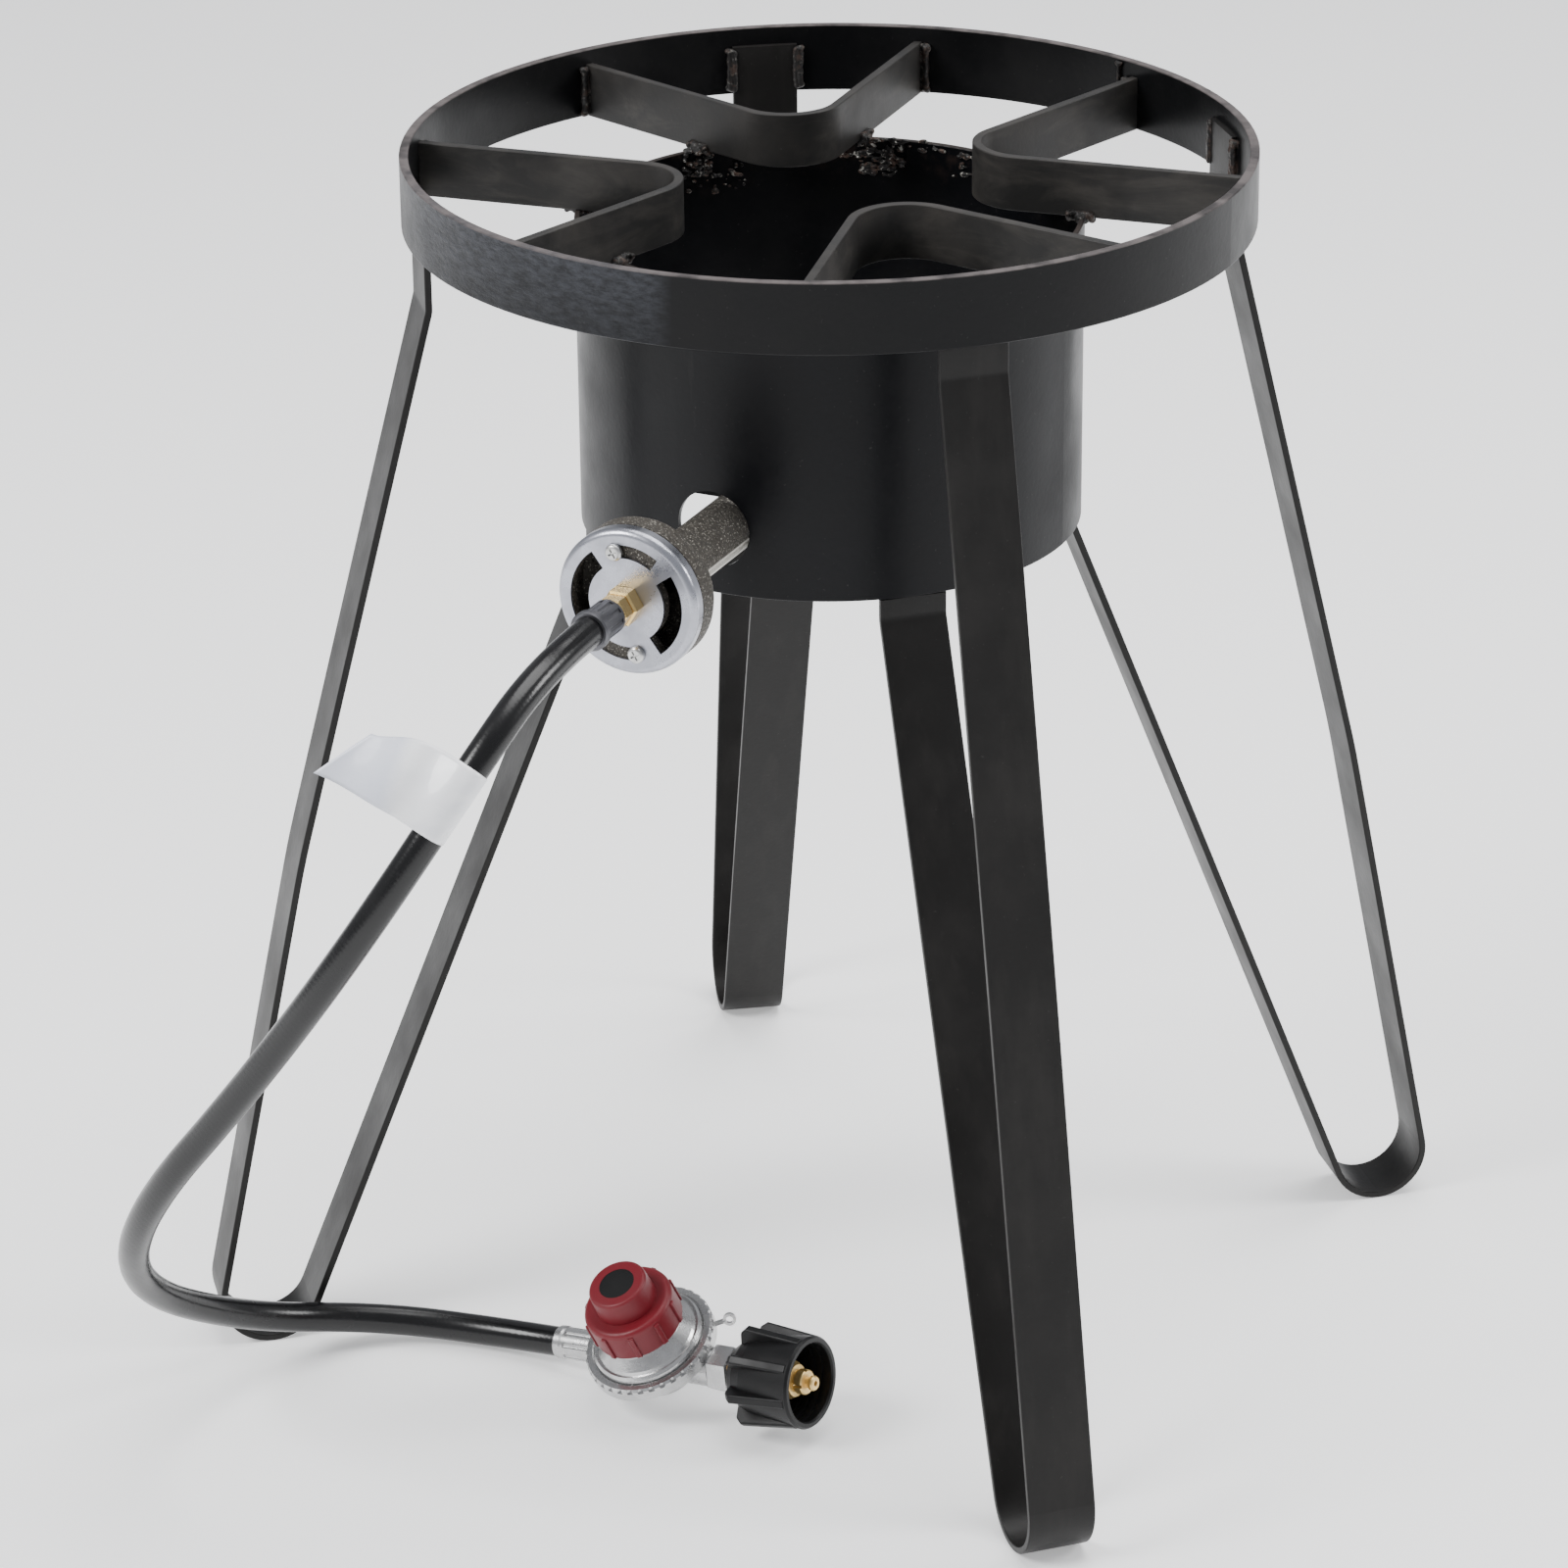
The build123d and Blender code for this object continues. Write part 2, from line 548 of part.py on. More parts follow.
def regulator_knob():
    """Moulded knob: a lobed skirt under a plain round cap."""
    skirt = Pos(0, 0, KNOB_Z0) * rod(KNOB_R, KNOB_STEP - KNOB_Z0)
    skirt = fillet(skirt.edges().group_by(Axis.Z)[-1], 2.6)
    cap = Pos(0, 0, KNOB_STEP - 2) * Cone(
        KNOB_CAP_R + 0.5, KNOB_CAP_R - 0.2, KNOB_TOP - KNOB_STEP + 2,
        align=(Align.CENTER, Align.CENTER, Align.MIN),
    )
    cap = fillet(cap.edges().group_by(Axis.Z)[-1], 1.6)
    knob = skirt + cap
    rib_h = KNOB_STEP - KNOB_Z0 - 2.4
    rib = Pos(KNOB_R + KNOB_RIB_H / 2 - 0.5, 0, KNOB_Z0 + rib_h / 2) * Box(
        KNOB_RIB_H + 1, KNOB_RIB_W, rib_h
    )
    rib = fillet(rib.faces().sort_by(Axis.X)[-1].edges(), 0.5)
    for k in range(KNOB_RIBS):
        knob = knob + Rot(0, 0, 360 / KNOB_RIBS * k + 12) * rib
    knob = knob - Pos(0, 0, KNOB_Z0) * rod(KNOB_R - 3.0, 1.6)
    knob = knob - Pos(0, 0, KNOB_Z0) * rod(12.0, TOWER_TOP + 1.0 - KNOB_Z0)
    knob = knob - Pos(0, 0, KNOB_Z0) * rod(ADJUST_R, KNOB_STEP + 7.0 - KNOB_Z0)
    return knob - Pos(0, 0, KNOB_TOP - 0.8) * rod(STICKER_R, 0.8)


def knob_disc():
    return Pos(0, 0, KNOB_TOP - 0.8) * rod(STICKER_R, 0.7)


def vent_eyelet():
    """Small eye on a stalk, standing off the rim."""
    eye = Pos(EYE_R, 0, EYE_Z) * Rot(70, 0, 0) * Pos(0, 0, -0.8) * tube(2.9, 1.6, 1.6)
    reach = EYE_R - RIM_R - 1.2
    stalk = Pos(RIM_R - 0.6 + reach / 2, 0, EYE_Z) * Box(reach, 1.6, 1.6)
    trim = Pos(0, 0, -6) * rod(RIM_R + 0.01, 12)
    return Rot(0, 0, EYE_TURN) * (eye + stalk - trim)


def inlet_fitting():
    """Plated hexagon screwed into the body's inlet."""
    length = NUT_X0 - 2 - INLET_X
    body = hexagon(INLET_HEX, length)
    fitting = on_ports(chamfer(body.edges().filter_by(Plane.XY), 0.9), INLET_X)
    neck = on_ports(rod(7.0, 1.95), NUT_X0 - 2)
    return fitting + neck - on_ports(rod(3, 22), INLET_X - 1)


def coupling_nut():
    """Large ribbed hand nut, open at the tank end."""
    outside = [
        (0, 0), (12.4, 0), (15.4, 4.0), (17.4, 9.0), (18.6, 18), (NUT_R - 0.5, 30),
        (NUT_R, 34.4), (NUT_R - 0.8, 35.5), (0, 35.5),
    ]
    shape = turned_profile(outside)
    wing = make_face(Polyline(
        (9, 3.0), (21.0, 4.6), (23.0, 7.0), (NUT_R + 0.2, 33.2), (NUT_R - 2, 34.4), (9, 34.4),
        close=True,
    ))
    wing = extrude(Plane.XZ * wing, NUT_RIB_W / 2, both=True)
    outer = wing.edges().filter_by(lambda e: e.center().X > 20.9 and abs(e.center().Y) > 1)
    wing = fillet(outer, 0.9)
    for k in range(NUT_RIBS):
        shape = shape + Rot(0, 0, 360 / NUT_RIBS * (k + 0.5)) * wing
    inside = [
        (0, 0), (NUT_HUB_R + 0.05, 0), (NUT_HUB_R + 0.05, 4.0), (14.2, 4.0), (14.2, 8.2),
        (NUT_BORE - 1.4, 9), (NUT_BORE - 0.6, 18), (NUT_BORE, 34.6), (NUT_BORE + 0.6, 35.5),
        (0, 35.5),
    ]
    shape = shape - turned_profile(inside)
    for z in range(14, 34, 4):
        shape = shape - Pos(0, 0, z) * tube(NUT_BORE + 0.8, NUT_BORE - 2, 1.9)
    return on_ports(shape, NUT_X0)


def thermal_bushing():
    return on_ports(tube(14.0, NUT_HUB_R + 0.02, 2.6), NUT_X0 + 4.2)


def inlet_nipple():
    """Brass nose that seals in the tank valve."""
    nose = turned_profile([
        (0, 0), (NUT_HUB_R, 0), (NUT_HUB_R, 7.0), (13.4, 7.0), (13.4, 8.0), (9.0, 9.0),
        (NIPPLE_R + 0.4, 12), (NIPPLE_R, 20), (NIPPLE_R - 1.6, 25.6), (NIPPLE_R - 2.6, 27.0),
        (NIPPLE_R - 2.0, 27.8), (NIPPLE_R - 2.0, 30.4), (3.0, 31.0), (2.4, 31.8), (3.0, 32.4),
        (3.0, 35.4), (2.4, 36.2), (0, 36.2),
    ])
    for k in range(4):
        slot = Pos(5.2, 0, 29.4) * Box(3.4, 2.0, 2.6)
        nose = nose - Rot(0, 0, 45 + 90 * k) * slot
    return on_ports(nose - rod(1.1, 40), NUT_X0)


def outlet_fitting():
    """Zinc crimp sleeve and stem on the hose's regulator end."""
    return off_ports(crimped_ferrule(OUTLET_L, OUTLET_LIP, 0.5, 8), -OUTLET_X)


# ---------------------------------------------------------------- hose
def hose_points():
    """The route with its last two points on the regulator's outlet line."""
    plane = reg_plane()
    end = plane.from_local_coords(Vector(-OUTLET_X - OUTLET_L + HOSE_GRIP, 0, -PORT_DROP))
    lead = end - plane.x_dir * HOSE_LEAD
    return [Vector(*p) for p in HOSE_ROUTE] + [lead, end]


def hose_path():
    """Straight runs joined by arcs, each arc taking 0.45 of the shorter run beside it."""
    points = hose_points()
    radii = []
    for a, b, c in zip(points, points[1:], points[2:]):
        run_in, run_out = b - a, c - b
        half = math.radians(run_in.get_angle(run_out)) / 2
        radii.append(0.45 * min(run_in.length, run_out.length) / math.tan(half))
    print("hose runs", [round((b - a).length, 1) for a, b in zip(points, points[1:])])
    print("hose radii", [round(r, 1) for r in radii])
    return FilletPolyline(*points, radius=radii)


def along_hose(path, r_out, r_in=0.0):
    """Round section, or a sleeve, swept along the whole hose."""
    section = Plane(origin=path @ 0, z_dir=path % 0) * Circle(r_out)
    solid = sweep(section, path=path)
    return solid - along_hose(path, r_in) if r_in else solid


def hose():
    path = hose_path()
    solid = along_hose(path, HOSE_D / 2)
    section = math.pi * HOSE_D**2 / 4
    print("hose length", round(path.length, 1), "volume ratio",
          round(solid.volume / (section * path.length), 4))
    return solid


def hose_label():
    """Sticker wrapped round the hose, its ends pressed together into a tail."""
    path = hose_path()
    at = LABEL_AT / path.length
    place = Plane(origin=path @ at, x_dir=Vector(*LABEL_SIDE), z_dir=path % at)
    slab = place * Box(40, 40, LABEL_L)
    sleeve = along_hose(path, HOSE_D / 2 + 0.9, HOSE_D / 2 + 0.3) & slab
    tail = place * Pos(HOSE_D / 2 + 0.6 + LABEL_TAIL / 2, 0, 0) * Box(LABEL_TAIL, 0.5, LABEL_L)
    return sleeve + tail


# ---------------------------------------------------------------- assembly
def main():
    os.makedirs("parts", exist_ok=True)
    ring, guard = top_ring(), wind_guard()
    brackets = {name: pot_bracket(az) for name, *_, az in STATIONS}
    legs = {name: leg(*sizes) for name, *sizes, _ in STATIONS}
    bracket_all, leg_all = list(brackets.values()), list(legs.values())
    guard_z = HEIGHT - RING_H - GUARD_H
    nodes = {"top_ring": ring, "wind_guard": guard}
    nodes |= {f"pot_bracket_{name}": shape for name, shape in brackets.items()}
    nodes |= {f"leg_{name}": shape for name, shape in legs.items()}
    nodes["bracket_ring_welds"] = weld_group(bracket_weld_lines(), 2.2, ring, *bracket_all)
    ring_lines = leg_weld_lines(RING_R - RING_T, HEIGHT - RING_H + 3, LEG_RING_TOP - 2)
    nodes["leg_ring_welds"] = weld_group(ring_lines, 1.8, ring, *leg_all)
    guard_lines = leg_weld_lines(GUARD_R - GUARD_T, guard_z + 2, guard_z + LEG_GUARD_RISE - 3)
    nodes["leg_guard_welds"] = weld_group(guard_lines, 1.8, guard, *leg_all)
    nodes["bracket_guard_welds"] = weld_group(guard_bracket_lines(), 1.9, guard, *bracket_all)
    seam = azimuth(158) * (RING_R - RING_T)
    seam_line = [((seam.X, seam.Y, HEIGHT - RING_H + 2), (seam.X, seam.Y, HEIGHT - 2))]
    nodes["ring_seam_weld"] = weld_group(seam_line, 1.6, ring)
    for make in (burner_casting, burner_cap, cap_screw, burner_strap, strap_washer, burner_bolt,
                 air_shutter, shutter_screws, orifice_fitting, flare_nut, burner_ferrule,
                 hose, hose_label):
        nodes[make.__name__] = make()
    for make in (regulator_body, regulator_bonnet, diaphragm, diaphragm_plate, valve_stem,
                 adjusting_spring, spring_button, adjusting_screw, regulator_knob, knob_disc,
                 vent_eyelet, inlet_fitting, coupling_nut, thermal_bushing, inlet_nipple,
                 outlet_fitting):
        nodes[make.__name__] = reg_plane() * make()
    for name, shape in nodes.items():
        save(name, shape)
    plane = reg_plane()
    mouth = plane.from_local_coords(Vector(NUT_X1, 0, -PORT_DROP)) + Vector(*FOOTPRINT)
    route = [p + Vector(*FOOTPRINT) for p in hose_points()]
    print("knob axis", plane.z_dir, "inlet axis", plane.x_dir, "nut mouth", mouth)
    print("hose route", [tuple(round(v, 2) for v in p) for p in route])
    print("nodes", len(nodes))


main()
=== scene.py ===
"""Looks of the outdoor propane burner stand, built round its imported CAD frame."""

import math
import random

import bmesh
import bpy
import numpy as np
from mathutils import Matrix, Vector, noise


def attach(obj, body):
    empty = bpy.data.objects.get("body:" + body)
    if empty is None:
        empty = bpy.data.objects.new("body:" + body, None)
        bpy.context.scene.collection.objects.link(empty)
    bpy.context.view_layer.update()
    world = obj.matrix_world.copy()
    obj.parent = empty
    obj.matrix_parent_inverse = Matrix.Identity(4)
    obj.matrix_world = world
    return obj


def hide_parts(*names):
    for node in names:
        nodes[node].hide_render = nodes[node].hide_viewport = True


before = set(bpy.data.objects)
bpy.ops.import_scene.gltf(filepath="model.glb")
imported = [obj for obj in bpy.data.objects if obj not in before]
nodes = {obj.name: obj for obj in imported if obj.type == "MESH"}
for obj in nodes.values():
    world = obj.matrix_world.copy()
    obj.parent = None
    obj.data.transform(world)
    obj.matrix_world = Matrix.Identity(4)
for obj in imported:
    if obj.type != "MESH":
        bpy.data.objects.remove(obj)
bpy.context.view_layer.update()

AXIS = Vector((0.005, -0.007, 0))        # the ring's centre line
RING_TOP = 0.528
GUARD_INNER, GUARD_TOP = 0.105, 0.498


# ------------------------------------------------------------------ camera
def place_camera():
    """The photograph's viewpoint: a long lens, looking down from the front right."""
    data = bpy.data.cameras.new("camera")
    data.sensor_width, data.lens = 36.0, 130.64
    cam = bpy.data.objects.new("camera", data)
    bpy.context.scene.collection.objects.link(cam)
    pitch, roll = math.radians(23.9767), 0.006267
    aim_left, aim_up = 0.0086290, 0.0014123
    heading = Vector((-0.41628, 0.90924, 0))
    forward = heading * math.cos(pitch) - Vector((0, 0, math.sin(pitch)))
    level = Vector((0.90924, 0.41628, 0))
    rise = level.cross(forward)
    right = level * math.cos(roll) - rise * math.sin(roll)
    rise = right.cross(forward)
    aim = (forward - right * aim_left + rise * aim_up).normalized()
    right = (right - aim * right.dot(aim)).normalized()
    rise = right.cross(aim)
    spin = Matrix((right, rise, -aim)).transposed().to_4x4()
    cam.matrix_world = Matrix.Translation(Vector((0.9522, -2.0797, 1.2482)) + AXIS) @ spin
    bpy.context.scene.camera = cam


def area_light(name, place, target, size, power, tint=(1, 1, 1)):
    data = bpy.data.lights.new(name, "AREA")
    data.shape, data.size, data.energy, data.color = "DISK", size, power, tint
    lamp = bpy.data.objects.new(name, data)
    bpy.context.scene.collection.objects.link(lamp)
    lamp.location = place
    lamp.rotation_euler = (Vector(target) - Vector(place)).to_track_quat("-Z", "Y").to_euler()


def studio():
    world = bpy.data.worlds.new("studio")
    bpy.context.scene.world = world
    world.use_nodes = True
    world.node_tree.nodes["Background"].inputs[0].default_value = (0.93, 0.95, 1.0, 1)
    world.node_tree.nodes["Background"].inputs[1].default_value = 0.50
    area_light("key", (-1.6, -1.9, 2.2), (0, 0, 0.35), 1.3, 84)
    area_light("rim", (1.9, 0.9, 1.3), (0, 0, 0.3), 0.8, 24)
    area_light("top", (0.3, 0.6, 2.9), (0, 0, 0.4), 2.6, 90)
    bpy.ops.mesh.primitive_plane_add(size=14)
    floor = bpy.context.object
    floor.name = "floor"
    pale = Looks("floor_pale", (0.93, 0.93, 0.93), 0.85, Emission_Strength=0.42)
    pale.gloss(pale.noise(3), 0.8, 0.9)
    floor.data.materials.append(pale.mat)


# ------------------------------------------------------------------ materials
MIX_UNDER, MIX_OVER, MIX_RESULT = 6, 7, 2    # the colour sockets of a Mix node


class Looks:
    """One node material: a principled shader fed by a few procedural layers."""

    def __init__(self, name, color, rough, metal=0.0, **sockets):
        self.mat = bpy.data.materials.new(name)
        self.mat.use_nodes = True
        self.tree = self.mat.node_tree
        self.shader = self.tree.nodes["Principled BSDF"]
        self.shader.inputs["Base Color"].default_value = (*color, 1)
        self.shader.inputs["Roughness"].default_value = rough
        self.shader.inputs["Metallic"].default_value = metal
        self.shader.inputs["Emission Color"].default_value = (*color, 1)
        for key, value in sockets.items():
            self.shader.inputs[key.replace("_", " ")].default_value = value
        centred = self.node("ShaderNodeMapping")
        centred.inputs["Location"].default_value = -AXIS
        self.link(self.tree.nodes.new("ShaderNodeTexCoord").outputs["Object"],
                  centred.inputs["Vector"])
        self.place = centred.outputs[0]
        self.color = None
        self.height = None

    def node(self, kind, **settings):
        made = self.tree.nodes.new(kind)
        for key, value in settings.items():
            if hasattr(made, key):
                setattr(made, key, value)
            else:
                made.inputs[key.replace("_", " ")].default_value = value
        return made

    def link(self, out, into):
        self.tree.links.new(out, into)

    def stretched(self, scale, source=None):
        """Coordinates scaled differently along each axis."""
        move = self.node("ShaderNodeMapping")
        move.inputs["Scale"].default_value = scale
        self.link(source or self.place, move.inputs["Vector"])
        return move.outputs[0]

    def noise(self, scale, detail=3.0, rough=0.55, source=None, distortion=0.0):
        made = self.node("ShaderNodeTexNoise", Scale=scale, Detail=detail, Roughness=rough,
                         Distortion=distortion)
        self.link(source or self.place, made.inputs["Vector"])
        return made.outputs["Fac"]

    def cells(self, scale, source=None):
        made = self.node("ShaderNodeTexVoronoi", Scale=scale)
        self.link(source or self.place, made.inputs["Vector"])
        return made.outputs["Distance"]

    def ramp(self, value, low, high, to_low=0.0, to_high=1.0):
        made = self.node("ShaderNodeMapRange")
        for key, number in (("From Min", low), ("From Max", high), ("To Min", to_low),
                            ("To Max", to_high)):
            made.inputs[key].default_value = number
        self.link(value, made.inputs["Value"])
        return made.outputs["Result"]

    def math(self, kind, a, b):
        made = self.node("ShaderNodeMath", operation=kind)
        for socket, value in zip(made.inputs, (a, b)):
            if isinstance(value, (int, float)):
                socket.default_value = value
            else:
                self.link(value, socket)
        return made.outputs[0]

    def tint(self, mask, color):
        """Lay a colour over what is there, where the mask is bright."""
        mix = self.node("ShaderNodeMix", data_type="RGBA")
        base = self.shader.inputs["Base Color"].default_value
        mix.inputs[MIX_UNDER].default_value = tuple(base)
        if self.color:
            self.link(self.color, mix.inputs[MIX_UNDER])
        mix.inputs[MIX_OVER].default_value = (*color, 1)
        self.link(mask, mix.inputs[0])
        self.color = mix.outputs[MIX_RESULT]
        self.link(self.color, self.shader.inputs["Base Color"])

    def gloss(self, value, low, high):
        """Roughness between two values, driven by a mask."""
        self.link(self.ramp(value, 0.3, 0.7, low, high), self.shader.inputs["Roughness"])

    def bump(self, value, depth, strength=1.0):
        """Add a bump of the given depth in metres."""
        made = self.node("ShaderNodeBump", Strength=strength, Distance=depth)
        self.link(value, made.inputs["Height"])
        if self.height:
            self.link(self.height, made.inputs["Normal"])
        self.height = made.outputs[0]
        self.link(self.height, self.shader.inputs["Normal"])


def spot(look, axis):
    """The distance from the ring's centre line, or the height, along x, y or z."""
    split = look.node("ShaderNodeSeparateXYZ")
    look.link(look.place, split.inputs[0])
    return split.outputs["xyz".index(axis)]


def azimuth(look):
    """The direction round the stand, in degrees from -Y towards +X."""
    turn = look.math("ARCTAN2", spot(look, "x"), look.math("MULTIPLY", spot(look, "y"), -1.0))
    return look.math("MULTIPLY", turn, 180 / math.pi)


def between(look, value, *edges):
    """Bright between the two middle edges, fading to nothing at the outer two."""
    rise = look.ramp(value, edges[0], edges[1])
    return look.math("MULTIPLY", rise, look.ramp(value, edges[2], edges[3], 1.0, 0.0))


def painted(name, color=(0.0052, 0.0052, 0.0060), rough=0.40, smear=0.35,
            smear_color=(0.014, 0.013, 0.0125), shine=0.20):
    """Thin satin black paint over mill scale, dusty and scuffed in places."""
    look = Looks(name, color, rough, Specular_IOR_Level=shine)
    cloud = look.noise(22, 5, 0.6)
    look.tint(look.ramp(cloud, 0.46, 0.72, 0.0, smear), smear_color)
    scuff = look.noise(60, 4, 0.7, look.stretched((1, 1, 0.12)))
    look.tint(look.ramp(scuff, 0.66, 0.76, 0.0, 0.25), (0.030, 0.029, 0.028))
    specks = look.noise(620, 2, 0.5)
    look.tint(look.ramp(specks, 0.71, 0.77, 0.0, 0.30), (0.055, 0.052, 0.050))
    look.gloss(cloud, rough - 0.06, rough + 0.10)
    look.bump(look.noise(420, 3), 0.00022, 0.30)
    look.bump(look.noise(38, 4), 0.0005, 0.20)
    return look


def ring_paint():
    look = painted("paint_ring", color=(0.0036, 0.0037, 0.0042), rough=0.36, smear=0.25,
                   shine=0.17)
    turn = azimuth(look)
    # a lighter streaked patch at the front left: partly real scuffing, partly painted highlight
    patch = between(look, turn, -66, -40, 1.5, 4.5)
    streak = look.noise(150, 5, 0.7, look.stretched((1, 1, 2.6)))
    wear_and_highlight = look.math("MULTIPLY", patch, look.ramp(streak, 0.36, 0.62, 0.25, 1.0))
    # lighter towards the ring's top edge: painted highlight
    high = look.ramp(spot(look, "z"), 0.500, 0.524, 0.45, 1.0)
    look.tint(look.math("MULTIPLY", wear_and_highlight, high), (0.036, 0.038, 0.045))
    # a thin lighter line along the ring's top edge: painted highlight
    rim = look.math("MULTIPLY", look.ramp(spot(look, "z"), RING_TOP - 0.0007, RING_TOP - 0.0003),
                    look.ramp(look.noise(90, 4), 0.35, 0.6, 0.25, 0.9))
    look.tint(rim, (0.115, 0.100, 0.098))
    look.bump(look.math("MULTIPLY", patch, streak), 0.0007, 0.6)
    return look.mat


def guard_paint():
    look = painted("paint_guard", color=(0.0032, 0.0034, 0.0044), rough=0.34, smear=0.22,
                   shine=0.16)
    rim = look.ramp(spot(look, "z"), 0.474, GUARD_TOP + 0.001)
    burnt = look.math("MULTIPLY", rim, look.ramp(look.noise(85, 5, 0.75), 0.52, 0.68))
    look.tint(look.math("MULTIPLY", burnt, 0.55), (0.040, 0.026, 0.021))
    # a thin lighter line along the guard's top edge: painted highlight
    edge = look.ramp(spot(look, "z"), GUARD_TOP - 0.0007, GUARD_TOP - 0.0003)
    look.tint(look.math("MULTIPLY", edge, 0.5), (0.060, 0.050, 0.046))
    return look.mat


def bracket_paint():
    look = painted("paint_bracket", color=(0.0150, 0.0146, 0.0142), rough=0.46, smear=0.75,
                   smear_color=(0.034, 0.0305, 0.0275), shine=0.28)
    haze = look.noise(30, 5, 0.65, look.stretched((0.6, 0.6, 2.2)), 0.8)
    look.tint(look.ramp(haze, 0.48, 0.66, 0.0, 0.55), (0.050, 0.045, 0.040))
    dark = look.noise(24, 3, 0.6)
    look.tint(look.ramp(dark, 0.52, 0.64, 0.0, 0.55), (0.0085, 0.0082, 0.0080))
    return look.mat


def leg_paint():
    look = painted("paint_leg", color=(0.0098, 0.0092, 0.0088), rough=0.42, smear=0.5,
                   smear_color=(0.019, 0.0175, 0.0165), shine=0.22)
    mill = look.noise(70, 4, 0.6, look.stretched((1, 1, 0.10)))
    look.tint(look.ramp(mill, 0.50, 0.68, 0.0, 0.35), (0.022, 0.0205, 0.019))
    return look.mat


def cast_iron():
    """Sand casting, grey-brown and granular, with a ground strip low on the tube's side."""
    look = Looks("cast_iron", (0.040, 0.036, 0.031), 0.60, 0.35)
    grain = look.noise(720, 3, 0.7)
    pits = look.cells(560)
    look.tint(look.ramp(grain, 0.42, 0.62), (0.080, 0.072, 0.061))
    look.tint(look.ramp(look.noise(40, 4), 0.5, 0.75, 0.0, 0.6), (0.044, 0.035, 0.027))
    look.tint(look.ramp(look.noise(1250, 1), 0.62, 0.69, 0.0, 0.8), (0.42, 0.40, 0.35))
    side = look.ramp(spot(look, "x"), 0.0080, 0.0086)
    low = look.ramp(spot(look, "z"), 0.3900, 0.3906, 1.0, 0.0)
    tube = look.ramp(spot(look, "y"), -0.150, -0.146)
    strip = look.math("MULTIPLY", look.math("MULTIPLY", side, low), tube)
    look.tint(look.math("MULTIPLY", strip, 0.85), (0.72, 0.70, 0.65))
    look.gloss(grain, 0.45, 0.78)
    look.bump(pits, 0.0006, 0.7)
    look.bump(grain, 0.0009, 0.8)
    return look.mat


def plated(name, color, rough, blotch=0.5, grain=900):
    look = Looks(name, color, rough, 0.95)
    cloud = look.noise(85, 5, 0.65)
    dull = tuple(c * 0.72 for c in color)
    look.tint(look.ramp(cloud, 0.42, 0.70, 0.0, blotch), dull)
    look.gloss(cloud, rough - 0.06, rough + 0.12)
    look.bump(look.noise(grain, 2), 0.00009, 0.5)
    return look


def brass(name="brass_turned", metal=1.0, low=0.16, high=0.32):
    look = Looks(name, (0.83, 0.60, 0.25), 0.22, metal)
    cloud = look.noise(120, 4)
    look.tint(look.ramp(cloud, 0.5, 0.8, 0.0, 0.5), (0.62, 0.40, 0.15))
    look.gloss(cloud, low, high)
    look.bump(look.noise(900, 2), 0.00006, 0.4)
    return look.mat


def plastic(name, color, rough, grain=1500, shine=0.40):
    look = Looks(name, color, rough, Specular_IOR_Level=shine)
    cloud = look.noise(60, 3)
    look.tint(look.ramp(cloud, 0.4, 0.8, 0.0, 0.35), tuple(c * 0.75 + 0.001 for c in color))
    look.gloss(cloud, rough - 0.05, rough + 0.08)
    look.bump(look.noise(grain, 2), 0.00012, 0.45)
    return look


def weld_metal(name, rust_share, bright_share):
    """Weld metal: dark, part rusty, with a few bright flecks."""
    look = Looks(name, (0.016, 0.0150, 0.0145), 0.46, 0.30, Specular_IOR_Level=0.3)
    rust = look.noise(210, 4, 0.7)
    look.tint(look.ramp(rust, 0.50, 0.62, 0.0, rust_share), (0.094, 0.058, 0.044))
    flecks = look.noise(460, 3, 0.6)
    look.tint(look.ramp(flecks, 0.58, 0.62, 0.0, bright_share), (0.46, 0.45, 0.41))
    look.gloss(rust, 0.34, 0.62)
    look.bump(look.noise(900, 3), 0.0005, 0.7)
    return look.mat


def hose_rubber():
    look = Looks("hose_rubber", (0.0042, 0.0042, 0.0046), 0.24, Specular_IOR_Level=0.42)
    cloud = look.noise(45, 4)
    look.gloss(cloud, 0.19, 0.30)
    look.tint(look.ramp(look.noise(300, 3), 0.60, 0.75, 0.0, 0.3), (0.025, 0.025, 0.026))
    weave = look.node("ShaderNodeTexWave", wave_type="BANDS", bands_direction="DIAGONAL",
                      Scale=190.0, Distortion=1.2, Detail=1.0)
    look.link(look.place, weave.inputs["Vector"])
    look.bump(weave.outputs["Fac"], 0.00003, 0.30)
    look.bump(look.noise(900, 2), 0.00010, 0.4)
    return look.mat


def label_film():
    look = Looks("label_film", (0.94, 0.95, 0.97), 0.30, 0.0, Coat_Weight=0.4)
    crease_and_shade = look.noise(60, 3, 0.5, look.stretched((1, 1, 2)))
    # darker and bluish where the film is creased: painted shade
    look.tint(look.ramp(crease_and_shade, 0.45, 0.75, 0.0, 0.5), (0.74, 0.76, 0.82))
    # the tail's far end, bent away at a crease, tinted bluish and darker: painted shade
    end = look.ramp(spot(look, "x"), -0.040, -0.034, 1.0, 0.0)
    look.tint(look.math("MULTIPLY", end, 0.55), (0.56, 0.60, 0.74))
    look.gloss(crease_and_shade, 0.22, 0.38)
    look.bump(crease_and_shade, 0.0010, 0.3)
    return look.mat


def dress(names, material):
    """Give CAD nodes a material."""
    for name in names:
        mesh = nodes[name].data
        mesh.materials.clear()
        mesh.materials.append(material)


# ------------------------------------------------------------------ meshes
def link_mesh(name, bm, material, body="stand"):
    mesh = bpy.data.meshes.new(name)
    bm.to_mesh(mesh)
    bm.free()
    mesh.shade_smooth()
    mesh.materials.append(material)
    piece = bpy.data.objects.new(name, mesh)
    bpy.context.scene.collection.objects.link(piece)
    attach(piece, body)
    return piece


def jitter(place, scale, amount):
    """A smooth pseudo-random push of up to about the given amount."""
    return noise.noise_vector(Vector(place) * scale) * amount


